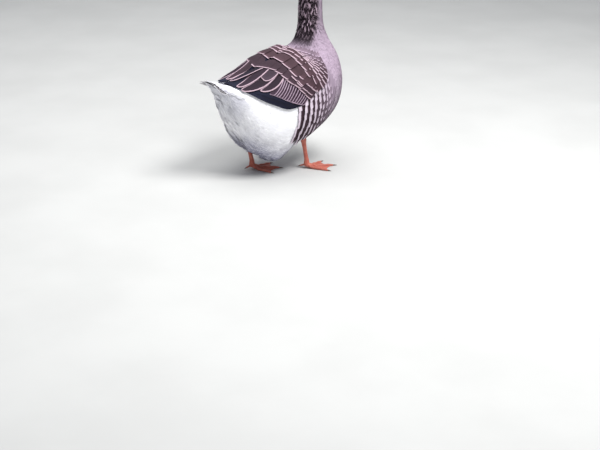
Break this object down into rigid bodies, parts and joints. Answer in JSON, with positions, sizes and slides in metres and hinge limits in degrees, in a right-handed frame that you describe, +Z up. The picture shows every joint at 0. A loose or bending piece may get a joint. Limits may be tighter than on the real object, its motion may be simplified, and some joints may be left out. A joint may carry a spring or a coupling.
{
  "type": "toulouse goose model",
  "caption": "Life-size grey domestic goose in mid stride, head up, wings folded, heavy two-lobed paunch, webbed feet flat on the floor.",
  "frame": {"origin": "on the floor, under the middle of the bounding box", "axes": "+X the way the goose faces, +Y its left, +Z up"},
  "size_m": [0.575, 0.3002, 0.7937],
  "materials": {
    "grey_plumage": "matt, overlapping feathers, brown-grey with pale edges",
    "white_plumage": "matt white feathers",
    "bill_horn": "satin orange horn",
    "eye": "wet dark brown",
    "leg_skin": "scaly orange-pink skin, satin",
    "claw": "satin horn"
  },
  "bodies": {
    "root": {"torso": "grey_plumage", "neck": "grey_plumage", "head": "grey_plumage", "wing_left": "grey_plumage", "wing_right": "grey_plumage", "tail": "white_plumage", "bill_upper": "bill_horn", "bill_lower": "bill_horn", "eye_left": "eye", "eye_right": "eye", "leg_left": "leg_skin", "leg_right": "leg_skin", "foot_left": "leg_skin", "foot_right": "leg_skin", "claw_left_inner": "claw", "claw_left_middle": "claw", "claw_left_outer": "claw", "claw_left_hind": "claw", "claw_right_inner": "claw", "claw_right_middle": "claw", "claw_right_outer": "claw", "claw_right_hind": "claw"}
  },
  "joints": []
}
